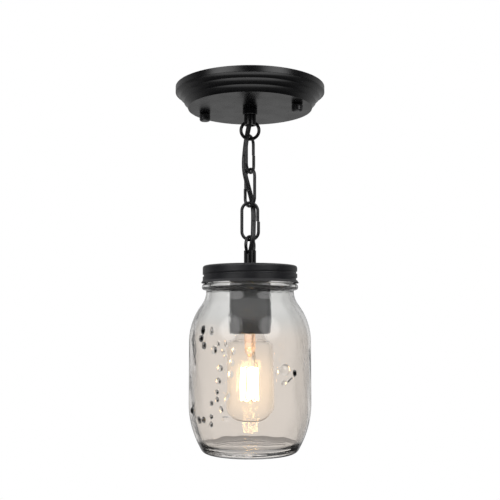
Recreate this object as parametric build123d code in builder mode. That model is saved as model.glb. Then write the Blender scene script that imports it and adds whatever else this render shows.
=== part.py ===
from build123d import *
import math
import os

# A ceiling lantern: a glass jar with a bulb in it, hung on a short chain from a round canopy.
# Lengths are in millimetres. The origin lies on the ceiling, at the middle of the mounting bar,
# +Z points up and +X runs along the bar, through both canopy knobs.

# Fits between pieces
screw_play = 0.05
hole_play = 0.3
face_play = 0.05
chain_play = 0.1
thread_play = 0.15
rest_play = 0.3

# Canopy, pressed from sheet in three rounded steps
canopy_radius = 60.0
canopy_lip = 4.5
canopy_shelf = 0.7
canopy_wall = 0.9
first_step_height = 3.6
step_growth = 0.6
step_count = 3
step_width = 3.1
step_bulge = 0.45

# Mounting bar and the two studs that carry the canopy
bar_length = 98.0
bar_width = 18.0
bar_thickness = 2.0
wire_hole_radius = 5.5
box_slot_spacing = 59.0
box_slot_length = 13.0
box_slot_width = 4.6
stud_spacing = 80.0
stud_radius = 2.0
stud_head_radius = 3.2
stud_head_thickness = 0.8
stud_thread_in_knob = 3.7
stud_tip_chamfer = 0.4
stud_nut_across = 7.0
stud_nut_height = 3.2
ground_screw_place = 14.0
ground_head_radius = 3.6
ground_head_height = 2.2
ground_slot_width = 1.0
ground_slot_depth = 1.2

# Canopy knobs and their washers
washer_radius = 4.0
washer_thickness = 0.6
knob_radius = 4.45
knob_height = 5.3
knob_corner = 1.6
knob_groove_depth = 0.3
knob_groove_width = 0.5
knob_groove_count = 2
knob_groove_pitch = 1.3

# Hollow screwed tube that carries the chain, one at the canopy and one at the lid
nipple_radius = 4.0
nipple_bore = 2.8
nipple_nut_across = 13.0
nipple_nut_height = 3.0
nipple_washer_radius = 7.5
nipple_washer_thickness = 0.8
nipple_above_nut = 1.2
nipple_in_stem = 5.2
cord_grip_radius = 4.9
cord_grip_height = 4.0
cord_grip_slot = 0.8
collar_radius = 5.95
collar_height = 4.8
collar_corner = 0.6

# Loops at both ends of the chain, each a stem with a round wire ring
stem_radius = 4.85
stem_lower_bore = 3.4
top_stem_height = 8.4
bottom_stem_height = 12.7
ring_radius = 7.25
ring_wire_radius = 1.3
ring_drop = 4.0
ring_end_radius = 4.1
stem_corner = 0.5

# Chain links, bent from wire and butted at the middle of one side
link_count = 3
link_length = 32.3
link_width = 15.5
link_wire_radius = 1.25
link_seam_gap = 0.3
link_seam_step = 0.6

# Turns about the vertical, in degrees from the mounting bar
ring_turn = 21.5
first_link_turn = 85.5
link_twist = 60.5
link_seam_turns = [0, 0, 180]
bottom_ring_turn = 84.5

# Supply cord, in chosen points from the cord grip to the inside of the lid
cord_radius = 2.0
cord_points = [
    (0.0, 0.0, -6.4),
    (0.0, 0.0, -17.0),
    (0.2, -0.2, -26.4),
    (-2.4, 1.4, -34.6),
    (-4.6, 2.9, -42.5),
    (-4.9, 1.1, -51.5),
    (-4.7, -1.1, -60.5),
    (-3.8, -2.0, -69.5),
    (-1.8, -0.6, -78.5),
    (-0.4, 2.2, -86.5),
    (0.5, 4.7, -93.8),
    (1.4, 4.3, -101.0),
    (2.2, 1.9, -108.5),
    (3.2, -1.0, -115.2),
    (3.7, -2.8, -121.8),
    (2.1, -1.7, -128.0),
    (0.3, -0.2, -133.6),
    (0.0, 0.0, -140.0),
    (0.0, 0.0, -148.0),
]
run_share = 0.45

# Leads inside the canopy and their twist-on connectors
lead_radius = 0.75
lead_offset = 1.0
lead_spread = 1.6
lead_near_share = 0.35
lead_far_share = 0.6
lead_entry_share_x = 0.3
lead_entry_share_y = 0.97
terminal_bend_share = 0.45
connector_mouth_radius = 4.4
connector_tip_radius = 2.6
connector_length = 17.0
connector_bore = 1.7
connector_bore_depth = 9.0
connector_place_x = 20.0
connector_place_y = 22.0
connector_rib_count = 8
connector_rib = 0.5
lead_crest_z = -4.2

# Screw band, disc and gasket that close the jar
band_radius = 37.47
band_wall = 0.5
band_height = 13.6
band_rim_width = 6.47
band_corner = 1.9
band_flare_reach = 1.23
band_flare_height = 1.9
thread_pitch = 5.08
band_groove_radius = 1.1
band_groove_turns = 1.35
band_groove_turn = -10.0
band_groove_low = 2.65
band_groove_lift = 0.2
band_ridge_overrun = 6.0
disc_edge_play = 1.57
disc_thickness = 0.6
gasket_width = 3.4
gasket_setback = 0.7
gasket_thickness = 1.2

# Glass jar
band_to_jar = 2.07
jar_thread_radius = 1.5
jar_thread_turns = 1.15
jar_thread_low = 2.2
jar_lip_corner = 1.2
bead_reach = 3.1
bead_height = 4.5
bead_below_band = 1.0
bead_corner = 1.7
neck_setback = 0.3
neck_length = 0.8
shoulder_slope = 37.0
shoulder_share = 0.7219
body_radius = 47.85
body_length = 47.0
heel_radius = 70.0
heel_slope = 27.5
inner_heel_slope = 20.0
foot_height = 6.2
foot_corner = 5.0
foot_width = 5.5
jar_wall = 3.0
base_thickness = 5.5
punt_height = 2.5
inner_heel_corner = 8.0

# Lamp holder
holder_radius = 16.5
holder_cap_height = 12.0
holder_cap_corner = 3.0
holder_wall = 2.0
holder_hub_radius = 6.5
holder_body_height = 36.6
holder_rim_corner = 1.8
holder_seam_bevel = 0.5
holder_nipple_length = 7.0
screw_shell_wall = 0.4
screw_shell_height = 26.0
contact_block_height = 5.0
centre_contact_thickness = 0.5
centre_contact_width = 5.0
centre_contact_length = 16.0
centre_contact_lift = 1.6
terminal_screw_radius = 1.5
terminal_head_radius = 2.8
terminal_head_height = 1.6
terminal_place = 9.0
terminal_screw_length = 4.0

# Bulb
bulb_radius = 18.5
bulb_length = 97.35
bulb_dome = 1.4
bulb_wall = 0.7
bulb_neck_in_cap = 9.0
bulb_neck_below_cap = 3.9
bulb_shoulder_height = 9.0
bulb_corner = 12.0
cap_radius = 12.3
cap_thread_pitch = 3.63
cap_thread_turns = 4.3
cap_thread_radius = 1.0
cap_thread_sink = 0.2
cap_wall = 0.4
cap_height = 21.0
cap_shoulder = 2.0
shell_thread_turns = 5.0
shell_thread_low = 2.0
insulator_height = 3.4
insulator_tip_radius = 5.0
foot_contact_radius = 4.6
foot_contact_height = 1.6
glass_stem_radius = 4.2
glass_stem_flare_height = 8.0
glass_stem_wall = 0.8
glass_stem_height = 26.0
glass_rod_radius = 1.3
filament_from_foot = 55.5
filament_height = 25.2
filament_ring_radius = 6.8
filament_strands = 14
filament_radius = 0.35
filament_bend = 1.35
support_radius = 0.3
lead_in_radius = 0.3
lead_in_place = 2.6

# Radii of the closure, all taken from the band that holds it together
band_inner_radius = band_radius - band_wall
band_opening_radius = band_radius - band_rim_width
band_flare_radius = band_radius + band_flare_reach
disc_radius = band_inner_radius - disc_edge_play
jar_finish_radius = band_inner_radius - band_to_jar
gasket_outer_radius = jar_finish_radius - gasket_setback
gasket_inner_radius = gasket_outer_radius - gasket_width
bead_radius = jar_finish_radius + bead_reach
neck_radius = jar_finish_radius - neck_setback

# Heights, worked out from the ceiling down
step_heights = [first_step_height + i * step_growth for i in range(step_count)]
canopy_height = canopy_lip + sum(step_heights)
canopy_face_z = -canopy_height
canopy_inside_z = canopy_face_z + canopy_wall
washer_top_z = canopy_face_z - face_play
knob_top_z = washer_top_z - washer_thickness - face_play
stud_bottom_z = knob_top_z - stud_thread_in_knob
collar_bottom_z = canopy_face_z - collar_height
top_stem_bottom_z = collar_bottom_z - top_stem_height
top_ring_z = top_stem_bottom_z - ring_drop
nipple_top_z = canopy_inside_z + nipple_washer_thickness + nipple_nut_height + nipple_above_nut
top_nipple_bottom_z = collar_bottom_z - nipple_in_stem
wire_hang = ring_wire_radius + link_wire_radius + chain_play
link_hang = 2 * link_wire_radius + chain_play
link_pitch = link_length - 2 * link_wire_radius - link_hang
first_link_top_z = top_ring_z - ring_radius + wire_hang + link_wire_radius
link_top_z = [first_link_top_z - i * link_pitch for i in range(link_count)]
link_bottom_z = [top - link_length for top in link_top_z]
bottom_ring_z = link_bottom_z[-1] + link_wire_radius + wire_hang - ring_radius
bottom_stem_top_z = bottom_ring_z - ring_drop
disc_top_z = bottom_stem_top_z - bottom_stem_height
band_top_z = disc_top_z + band_wall
disc_bottom_z = disc_top_z - disc_thickness
band_bottom_z = band_top_z - band_height
gasket_top_z = disc_bottom_z - face_play
jar_rim_z = gasket_top_z - gasket_thickness - face_play
bead_top_z = band_bottom_z - bead_below_band
bead_bottom_z = bead_top_z - bead_height
lid_nut_top_z = disc_bottom_z - nipple_washer_thickness
holder_top_z = lid_nut_top_z - nipple_nut_height - face_play
lower_nipple_top_z = disc_top_z + nipple_in_stem
lower_nipple_bottom_z = holder_top_z - holder_nipple_length
holder_seam_z = holder_top_z - holder_cap_height
contact_block_bottom_z = holder_seam_z - contact_block_height
foot_top_z = contact_block_bottom_z - centre_contact_lift - centre_contact_thickness - rest_play
insulator_top_z = foot_top_z - foot_contact_height
cap_top_z = insulator_top_z - insulator_height
cap_bottom_z = cap_top_z - cap_height
shell_top_z = contact_block_bottom_z
shell_bottom_z = shell_top_z - screw_shell_height


def save(piece, label):
    """Name a finished piece and write it to the parts folder."""
    piece.label = label
    export_step(piece, "parts/" + label + ".step")


def turned_plane(turn, z):
    """Upright plane through the axis at height z, turned about the vertical."""
    along = (math.cos(math.radians(turn)), math.sin(math.radians(turn)), 0)
    across = (math.sin(math.radians(turn)), -math.cos(math.radians(turn)), 0)
    return Plane(origin=(0, 0, z), x_dir=along, z_dir=across)


def bend_radii(points):
    """Radius of the arc at each corner, as large as its two straight runs allow."""
    radii = []
    for before, here, after in zip(points, points[1:], points[2:]):
        run_in = Vector(*here) - Vector(*before)
        run_out = Vector(*after) - Vector(*here)
        half_turn = math.radians(run_in.get_angle(run_out)) / 2
        radii.append(run_share * min(run_in.length, run_out.length) / math.tan(half_turn))
    return radii


def tube(points, radius, label):
    """Round tube along straight runs joined by tangent arcs."""
    radii = bend_radii(points)
    with BuildPart() as piece:
        with BuildLine() as route:
            FilletPolyline(*points, radius=radii)
        path = route.wire()
        with BuildSketch(Plane(origin=path @ 0, z_dir=path % 0)):
            Circle(radius)
        sweep(path=path)
    section_times_length = math.pi * radius**2 * path.length
    print(
        f"{label}: length {path.length:.1f}, volume {piece.part.volume:.1f} of "
        f"{section_times_length:.1f}, radii {', '.join(f'{r:.1f}' for r in radii)}"
    )
    return piece.part


def hex_nut(across, height, bore, top_z, places):
    """Hexagon nuts with chamfered corners, hung below top_z at each place."""
    with BuildPart(Plane.XY.offset(top_z - height)) as nut:
        with Locations(*places):
            Cylinder(across / math.sqrt(3), height, align=(Align.CENTER, Align.CENTER, Align.MIN))
        chamfer(nut.edges(), height / 6)
        with BuildSketch(Plane.XY.offset(top_z - height)):
            with Locations(*places):
                RegularPolygon(across / 2, 6, major_radius=False)
        extrude(amount=height, mode=Mode.INTERSECT)
        with BuildSketch(Plane.XY.offset(top_z)):
            with Locations(*places):
                Circle(bore)
        extrude(amount=-height, mode=Mode.SUBTRACT)
    return nut.part


def ring_plate(outer, inner, thickness, top_z, places):
    """Flat washers below top_z at each place."""
    with BuildPart() as plate:
        with BuildSketch(Plane.XY.offset(top_z)):
            with Locations(*places):
                Circle(outer)
                Circle(inner, mode=Mode.SUBTRACT)
        extrude(amount=-thickness)
    return plate.part


def chain_link(top_z, turn):
    """Wire link, butted half way down one side, where its ends stand a little out of line."""
    upper_bend = link_width / 2 - link_wire_radius - link_seam_step / 4
    lower_bend = link_width / 2 - link_wire_radius + link_seam_step / 4
    upper_z = link_length / 2 - link_wire_radius - upper_bend
    lower_z = -link_length / 2 + link_wire_radius + lower_bend
    left = -(upper_bend + lower_bend) / 2
    upper_right = left + 2 * upper_bend
    lower_right = left + 2 * lower_bend
    with BuildPart() as link:
        with BuildLine(turned_plane(turn, top_z - link_length / 2)) as route:
            Line((upper_right, link_seam_gap / 2), (upper_right, upper_z))
            CenterArc((left + upper_bend, upper_z), upper_bend, 0, 180)
            Line((left, upper_z), (left, lower_z))
            CenterArc((left + lower_bend, lower_z), lower_bend, 180, 180)
            Line((lower_right, lower_z), (lower_right, -link_seam_gap / 2))
        with BuildSketch(Plane(origin=route.wire() @ 0, z_dir=route.wire() % 0)):
            Circle(link_wire_radius)
        sweep(path=route.wire())
    return link.part


def wire_ring(z, turn, opening):
    """Path of a loop's ring: a round wire open towards its stem, opening 90 up or 270 down."""
    half_gap = math.degrees(math.asin(ring_end_radius / ring_radius))
    with BuildLine(turned_plane(turn, z)) as route:
        CenterArc((0, 0), ring_radius, opening + half_gap, 360 - 2 * half_gap)
    return route.wire()


def helix_tube(pitch, turns, radius, start_z, start_turn, section_radius):
    """Round section carried up a right-hand helix, for the rolled and moulded screw threads."""
    with BuildPart() as ridge:
        with BuildLine() as route:
            Helix(pitch, pitch * turns, radius, center=(0, 0, start_z))
        path = route.wire()
        with BuildSketch(Plane(origin=path @ 0, z_dir=path % 0)):
            Circle(section_radius)
        sweep(path=path, is_frenet=True)
    return ridge.part.rotate(Axis.Z, start_turn)


os.makedirs("parts", exist_ok=True)
stud_places = [(-stud_spacing / 2, 0), (stud_spacing / 2, 0)]

# Mounting bar: a flat steel strip, screwed to the ceiling box through its two slots
with BuildPart() as mounting_bar:
    with BuildSketch():
        SlotOverall(bar_length, bar_width)
        Circle(wire_hole_radius, mode=Mode.SUBTRACT)
        with GridLocations(box_slot_spacing, 0, 2, 1):
            SlotOverall(box_slot_length, box_slot_width, mode=Mode.SUBTRACT)
        with Locations(*stud_places):
            Circle(stud_radius + screw_play, mode=Mode.SUBTRACT)
        with Locations((ground_screw_place, 0)):
            Circle(stud_radius + screw_play, mode=Mode.SUBTRACT)
    extrude(amount=-bar_thickness)
    with BuildSketch():
        with Locations(*stud_places):
            Circle(stud_head_radius + screw_play)
    extrude(amount=-stud_head_thickness - screw_play, mode=Mode.SUBTRACT)
save(mounting_bar.part, "mounting_bar")

# Studs: screws pressed flush into the bar, on which the canopy is hung
with BuildPart() as bar_studs:
    with BuildSketch():
        with Locations(*stud_places):
            Circle(stud_head_radius)
    extrude(amount=-stud_head_thickness)
    with BuildSketch():
        with Locations(*stud_places):
            Circle(stud_radius)
    extrude(amount=stud_bottom_z)
    chamfer(bar_studs.edges().group_by(Axis.Z)[0], stud_tip_chamfer)
save(bar_studs.part, "bar_studs")

stud_nut_top = -bar_thickness
stud_locknuts = hex_nut(
    stud_nut_across, stud_nut_height, stud_radius + screw_play, stud_nut_top, stud_places
)
save(stud_locknuts, "stud_locknuts")

# Green earth screw, threaded up into the bar, with a cross slot in its head
with BuildPart() as ground_screw:
    with BuildSketch():
        with Locations((ground_screw_place, 0)):
            Circle(stud_radius)
    extrude(amount=-bar_thickness - 2 * lead_radius - 2 * face_play)
    ground_head_top = -bar_thickness - 2 * lead_radius - 2 * face_play
    with BuildSketch(Plane.XY.offset(ground_head_top)):
        with Locations((ground_screw_place, 0)):
            Circle(ground_head_radius)
    extrude(amount=-ground_head_height)
    fillet(ground_screw.edges().group_by(Axis.Z)[0], ground_head_height / 3)
    with BuildSketch(Plane.XY.offset(ground_head_top - ground_head_height)):
        with Locations((ground_screw_place, 0)):
            Rectangle(3 * ground_head_radius, ground_slot_width)
            Rectangle(ground_slot_width, ground_head_radius)
    extrude(amount=ground_slot_depth, mode=Mode.SUBTRACT)
save(ground_screw.part, "ground_screw")

# Canopy: its section is the outside drawn on both sides, hollowed by the wall, then halved
with BuildPart() as canopy:
    with BuildSketch(Plane.XZ):
        with BuildLine():
            rise = canopy_height
            groove = (canopy_radius - canopy_shelf, -canopy_lip)
            Polyline((0, rise), (canopy_radius, rise), (canopy_radius, -canopy_lip), groove)
            for step_height in step_heights:
                next_groove = (groove[0] - step_width, groove[1] - step_height)
                SagittaArc(groove, next_groove, -step_bulge)
                groove = next_groove
            Line(groove, (0, -canopy_height))
            mirror(about=Plane.YZ)
        make_face()
        offset(amount=-canopy_wall, mode=Mode.SUBTRACT)
        with Locations((0, rise)):
            Rectangle(3 * canopy_radius, 2 * rise, mode=Mode.SUBTRACT)
        with Locations((-canopy_radius, 0)):
            Rectangle(2 * canopy_radius, 4 * rise, mode=Mode.SUBTRACT)
    revolve(axis=Axis.Z)
    with BuildSketch(Plane.XY.offset(canopy_face_z)):
        Circle(nipple_radius + hole_play)
        with Locations(*stud_places):
            Circle(stud_radius + hole_play)
    extrude(amount=2 * canopy_wall, mode=Mode.SUBTRACT)
save(canopy.part, "canopy")


# Knobs: small capped nuts with two turned grooves, each on its own washer
def canopy_knob(place):
    """Round nut with a blind hole for its stud, a rounded end and turned grooves."""
    with BuildPart(Plane.XY.offset(knob_top_z)) as knob:
        with Locations(place):
            Cylinder(knob_radius, knob_height, align=(Align.CENTER, Align.CENTER, Align.MAX))
        fillet(knob.edges().group_by(Axis.Z)[0], knob_corner)
        for i in range(knob_groove_count):
            groove_z = knob_top_z - (i + 1) * knob_groove_pitch
            with BuildSketch(Plane.XY.offset(groove_z)):
                with Locations(place):
                    Circle(2 * knob_radius)
                    Circle(knob_radius - knob_groove_depth, mode=Mode.SUBTRACT)
            extrude(amount=-knob_groove_width, mode=Mode.SUBTRACT)
        with BuildSketch(Plane.XY.offset(knob_top_z)):
            with Locations(place):
                Circle(stud_radius + screw_play)
        extrude(amount=-stud_thread_in_knob - rest_play, mode=Mode.SUBTRACT)
    return knob.part


for side, place in zip(("left", "right"), stud_places):
    save(canopy_knob(place), "knob_" + side)
    washer = ring_plate(
        washer_radius, stud_radius + hole_play, washer_thickness, washer_top_z, [place]
    )
    save(washer, "washer_" + side)


# Screwed tubes with their nuts and washers
def threaded_tube(top_z, bottom_z):
    """Hollow screwed tube for the cord to pass through, with chamfered ends."""
    with BuildPart() as nipple:
        with BuildSketch(Plane.XY.offset(top_z)):
            Circle(nipple_radius)
        extrude(amount=bottom_z - top_z)
        chamfer(nipple.edges(), 2 * screw_play)
        with BuildSketch(Plane.XY.offset(top_z)):
            Circle(nipple_bore)
        extrude(amount=bottom_z - top_z, mode=Mode.SUBTRACT)
    return nipple.part


save(threaded_tube(nipple_top_z, top_nipple_bottom_z), "top_nipple")
save(threaded_tube(lower_nipple_top_z, lower_nipple_bottom_z), "lower_nipple")
nut_bore = nipple_radius + screw_play
washer_bore = nipple_radius + hole_play
top_washer_z = canopy_inside_z + nipple_washer_thickness
top_nut_z = top_washer_z + nipple_nut_height
top_washer = ring_plate(
    nipple_washer_radius, washer_bore, nipple_washer_thickness, top_washer_z, [(0, 0)]
)
lid_washer = ring_plate(
    nipple_washer_radius, washer_bore, nipple_washer_thickness, disc_bottom_z, [(0, 0)]
)
save(top_washer, "canopy_lock_washer")
save(lid_washer, "lid_washer")
save(hex_nut(nipple_nut_across, nipple_nut_height, nut_bore, top_nut_z, [(0, 0)]), "canopy_nut")
save(hex_nut(nipple_nut_across, nipple_nut_height, nut_bore, lid_nut_top_z, [(0, 0)]), "lid_nut")

# Cord grip: a split plastic bush on top of the upper tube
with BuildPart() as cord_grip:
    with BuildSketch(Plane.XY.offset(nipple_top_z)):
        Circle(cord_grip_radius)
    extrude(amount=cord_grip_height)
    fillet(cord_grip.edges().group_by(Axis.Z)[-1], cord_grip_height / 4)
    with BuildSketch(Plane.XY.offset(nipple_top_z)):
        Circle(cord_radius + screw_play)
        with Locations((0, -cord_grip_radius)):
            Rectangle(cord_grip_slot, 2 * cord_grip_radius)
    extrude(amount=cord_grip_height, mode=Mode.SUBTRACT)
save(cord_grip.part, "cord_grip")

# Collar between the canopy and the upper loop
with BuildPart() as canopy_collar:
    with BuildSketch(Plane.XY.offset(canopy_face_z)):
        Circle(collar_radius)
    extrude(amount=-collar_height)
    fillet(canopy_collar.edges(), collar_corner)
    with BuildSketch(Plane.XY.offset(canopy_face_z)):
        Circle(washer_bore)
    extrude(amount=-collar_height, mode=Mode.SUBTRACT)
save(canopy_collar.part, "canopy_collar")


# Loops: a hollow stem with a wire ring let into its sides
def loop(stem_top_z, stem_height, ring_z, turn, ring_below):
    """Stem with its ring, screwed for the tube at the end away from the ring."""
    stem_bottom_z = stem_top_z - stem_height
    route = wire_ring(ring_z, turn, 90 if ring_below else 270)
    thread_z = stem_top_z if ring_below else stem_bottom_z
    into_stem = -1 if ring_below else 1
    with BuildPart() as piece:
        with BuildSketch(Plane(origin=route @ 0, z_dir=route % 0)):
            Circle(ring_wire_radius)
        sweep(path=route)
        with BuildSketch(Plane.XY.offset(stem_top_z)):
            Circle(stem_radius)
        extrude(amount=-stem_height)
        with BuildSketch(Plane.XY.offset(stem_top_z)):
            Circle(stem_lower_bore)
        extrude(amount=-stem_height, mode=Mode.SUBTRACT)
        with BuildSketch(Plane.XY.offset(thread_z)):
            Circle(nipple_radius + screw_play)
        extrude(amount=into_stem * (nipple_in_stem + rest_play), mode=Mode.SUBTRACT)
        stem_rims = piece.edges().filter_by(GeomType.CIRCLE).filter_by(
            lambda rim: abs(rim.radius - stem_radius) < screw_play
            and abs(rim.center().Z - thread_z) < screw_play
        )
        chamfer(stem_rims, stem_corner / 2)
    return piece.part


top_loop = loop(collar_bottom_z, top_stem_height, top_ring_z, ring_turn, True)
save(top_loop, "top_loop")
bottom_loop = loop(bottom_stem_top_z, bottom_stem_height, bottom_ring_z, bottom_ring_turn, False)
save(bottom_loop, "bottom_loop")

for i in range(link_count):
    link_turn = first_link_turn + i * link_twist + link_seam_turns[i % len(link_seam_turns)]
    save(chain_link(link_top_z[i], link_turn), f"link_{i + 1}")

save(tube(cord_points, cord_radius, "supply_cord"), "supply_cord")

# Leads in the canopy: two end in twist-on connectors that lie on its floor, one at the bar
connector_z = canopy_inside_z + connector_mouth_radius + connector_rib + rest_play
cord_end_z = cord_points[0][2]
connector_mouth_x = connector_place_x - connector_length / 2


def canopy_lead(side):
    """Route of a lead from the cord's end, over the nut and down into its connector."""
    start_x, start_y = side * lead_offset / 2, side * lead_offset
    reach_y = side * connector_place_y
    entry_x = side * lead_entry_share_x * connector_mouth_x
    return [
        (start_x, start_y, cord_end_z + rest_play),
        (start_x, lead_spread * start_y, lead_crest_z),
        (start_x, start_y + lead_near_share * reach_y, lead_crest_z - lead_radius),
        (start_x, start_y + lead_far_share * reach_y, connector_z + 2 * lead_radius),
        (entry_x, lead_entry_share_y * reach_y, connector_z),
        (side * (connector_mouth_x + connector_bore_depth / 2), reach_y, connector_z),
    ]


for side, name in ((1, "lead_live"), (-1, "lead_neutral")):
    save(tube(canopy_lead(side), lead_radius, name), name)
ground_lead_z = -bar_thickness - lead_radius - face_play
ground_lead_end = ground_screw_place - stud_radius - lead_radius - screw_play
ground_route = [
    (lead_offset, -lead_offset / 2, cord_end_z + rest_play),
    (lead_spread * lead_offset, -lead_offset / 2, lead_crest_z + lead_radius),
    (ground_lead_end / 2, lead_offset / 2, ground_lead_z),
    (ground_lead_end, lead_radius, ground_lead_z),
]
save(tube(ground_route, lead_radius, "lead_ground"), "lead_ground")

# Twist-on connectors: tapered plastic caps with grip ribs and a blind hole
with BuildPart() as wire_connectors:
    for side in (1, -1):
        mouth = Plane(
            origin=(side * connector_mouth_x, side * connector_place_y, connector_z),
            z_dir=(side, 0, 0),
        )
        with BuildSketch(mouth):
            Circle(connector_mouth_radius)
            with PolarLocations(connector_mouth_radius, connector_rib_count):
                Circle(connector_rib)
        with BuildSketch(mouth.offset(connector_length)):
            Circle(connector_tip_radius)
            with PolarLocations(connector_tip_radius, connector_rib_count):
                Circle(connector_rib)
        loft()
    for side in (1, -1):
        mouth = Plane(
            origin=(side * connector_mouth_x, side * connector_place_y, connector_z),
            z_dir=(side, 0, 0),
        )
        with BuildSketch(mouth):
            Circle(connector_bore)
        extrude(amount=connector_bore_depth, mode=Mode.SUBTRACT)
save(wire_connectors.part, "wire_connectors")

# Screw band: thin sheet, with a rolled screw groove and a flared lower edge
groove_start_z = band_bottom_z + band_groove_low
groove_centre = band_radius + band_groove_lift
overrun_turns = band_ridge_overrun / 360
band_groove = helix_tube(
    thread_pitch,
    band_groove_turns,
    groove_centre,
    groove_start_z,
    band_groove_turn,
    band_groove_radius,
)
band_ridge = helix_tube(
    thread_pitch,
    band_groove_turns + 2 * overrun_turns,
    groove_centre,
    groove_start_z - thread_pitch * overrun_turns,
    band_groove_turn - band_ridge_overrun,
    band_groove_radius + band_wall,
)
with BuildPart() as screw_band:
    add(band_ridge)
    with BuildSketch(Plane.XY.offset(band_bottom_z)):
        Circle(band_radius - band_wall / 2)
    extrude(amount=band_height, mode=Mode.INTERSECT)
    with BuildSketch(Plane.XZ):
        with BuildLine():
            outer_flare_z = band_bottom_z + band_flare_height
            FilletPolyline(
                (band_opening_radius, band_top_z),
                (band_radius, band_top_z),
                (band_radius, outer_flare_z),
                radius=band_corner,
            )
            Line((band_radius, outer_flare_z), (band_flare_radius, band_bottom_z))
            Line((band_flare_radius, band_bottom_z), (band_flare_radius - band_wall, band_bottom_z))
            Line((band_flare_radius - band_wall, band_bottom_z), (band_inner_radius, outer_flare_z))
            FilletPolyline(
                (band_inner_radius, outer_flare_z),
                (band_inner_radius, disc_top_z),
                (band_opening_radius, disc_top_z),
                radius=band_corner - band_wall,
            )
            Line((band_opening_radius, disc_top_z), (band_opening_radius, band_top_z))
        make_face()
    revolve(axis=Axis.Z)
    add(band_groove, mode=Mode.SUBTRACT)
save(screw_band.part, "screw_band")

# Disc under the band's rim: it carries the loop's tube above and the lamp holder below
lid_disc = ring_plate(disc_radius, washer_bore, disc_thickness, disc_top_z, [(0, 0)])
save(lid_disc, "lid_disc")

# Soft ring between the disc and the jar's rim
with BuildPart() as jar_gasket:
    with BuildSketch(Plane.XY.offset(gasket_top_z)):
        Circle(gasket_outer_radius)
        Circle(gasket_inner_radius, mode=Mode.SUBTRACT)
    extrude(amount=-gasket_thickness)
    fillet(jar_gasket.edges(), gasket_thickness / 4)
save(jar_gasket.part, "jar_gasket")


# Glass jar: its section is an outer and an inner line joined at the rim and at the axis
def helix_lift(first_radius, second_radius, centre_gap):
    """Height of one thread's section above the other when their flanks almost touch."""
    reach = first_radius + second_radius + thread_play
    return math.sqrt(reach**2 - centre_gap**2)


slope = math.radians(shoulder_slope)
both_bends = (body_radius - neck_radius) / (1 - math.cos(slope))
shoulder_radius = shoulder_share * both_bends
neck_bend = both_bends - shoulder_radius
neck_end_z = bead_bottom_z - neck_length
slope_end_z = neck_end_z - neck_bend * math.sin(slope)
shoulder_end_z = slope_end_z - shoulder_radius * math.sin(slope)
body_end_z = shoulder_end_z - body_length
heel_end_z = body_end_z - heel_radius * math.sin(math.radians(heel_slope))
jar_bottom_z = heel_end_z - foot_height
jar_floor_z = jar_bottom_z + base_thickness


def jar_side(wall, low_slope, low_z):
    """Points down the side of the jar, wall deep inside its outer face, to height low_z."""
    bend = neck_bend + wall
    neck = neck_radius - wall
    slope_end = (neck + bend * (1 - math.cos(slope)), neck_end_z - bend * math.sin(slope))
    body = body_radius - wall
    heel = heel_radius - wall
    turn = math.radians(low_slope)
    heel_end = (body - heel * (1 - math.cos(turn)), body_end_z - heel * math.sin(turn))
    low_end = (heel_end[0] - (heel_end[1] - low_z) * math.tan(turn), low_z)
    upper_points = ((neck, neck_end_z), slope_end, (body, shoulder_end_z), (body, body_end_z))
    return *upper_points, heel_end, low_end


def jar_line(side, end, corner_radius):
    """Neck bend, shoulder, body, heel and rounded foot, drawn downwards."""
    neck_end, slope_end, shoulder_end, body_end, heel_end, low_end = side
    turn = math.atan2(heel_end[0] - low_end[0], heel_end[1] - low_end[1])
    reach = 4 / 3 * math.tan(turn / 4) * (body_end[1] - heel_end[1]) / math.sin(turn)
    above_heel = (body_end[0], body_end[1] - reach)
    along_heel = (heel_end[0] + reach * math.sin(turn), heel_end[1] + reach * math.cos(turn))
    TangentArc(neck_end, slope_end, tangent=(0, -1))
    TangentArc(slope_end, shoulder_end, tangent=(math.sin(slope), -math.cos(slope)))
    Line(shoulder_end, body_end)
    Bezier(body_end, above_heel, along_heel, heel_end)
    FilletPolyline(heel_end, low_end, end, radius=corner_radius)


jar_outer = jar_side(0, heel_slope, jar_bottom_z)
jar_inner = jar_side(jar_wall, inner_heel_slope, jar_floor_z)
foot_inner = (jar_outer[-1][0] - foot_width, jar_bottom_z)
jar_ridge_lift = helix_lift(
    band_groove_radius + band_wall, jar_thread_radius, groove_centre - jar_finish_radius
)
jar_ridge_z = band_bottom_z + jar_thread_low
jar_ridge_turn = band_groove_turn + 360 * (
    (jar_ridge_z - jar_ridge_lift - groove_start_z) / thread_pitch
)
jar_ridge = helix_tube(
    thread_pitch,
    jar_thread_turns,
    jar_finish_radius,
    jar_ridge_z,
    jar_ridge_turn,
    jar_thread_radius,
)
with BuildPart() as glass_jar:
    with BuildSketch(Plane.XZ):
        with BuildLine():
            FilletPolyline(
                (jar_inner[0][0], jar_rim_z),
                (jar_finish_radius, jar_rim_z),
                (jar_finish_radius, bead_top_z),
                radius=jar_lip_corner,
            )
            FilletPolyline(
                (jar_finish_radius, bead_top_z),
                (bead_radius, bead_top_z),
                (bead_radius, bead_bottom_z),
                (neck_radius, bead_bottom_z),
                radius=bead_corner,
            )
            Line((neck_radius, bead_bottom_z), jar_outer[0])
            jar_line(jar_outer, foot_inner, foot_corner)
            TangentArc((0, jar_bottom_z + punt_height), foot_inner, tangent=(1, 0))
            Line((0, jar_bottom_z + punt_height), (0, jar_floor_z))
            jar_line(jar_inner, (0, jar_floor_z), inner_heel_corner)
            Line(jar_inner[0], (jar_inner[0][0], jar_rim_z))
        make_face()
    revolve(axis=Axis.Z)
    add(jar_ridge)
save(glass_jar.part, "glass_jar")

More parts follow.
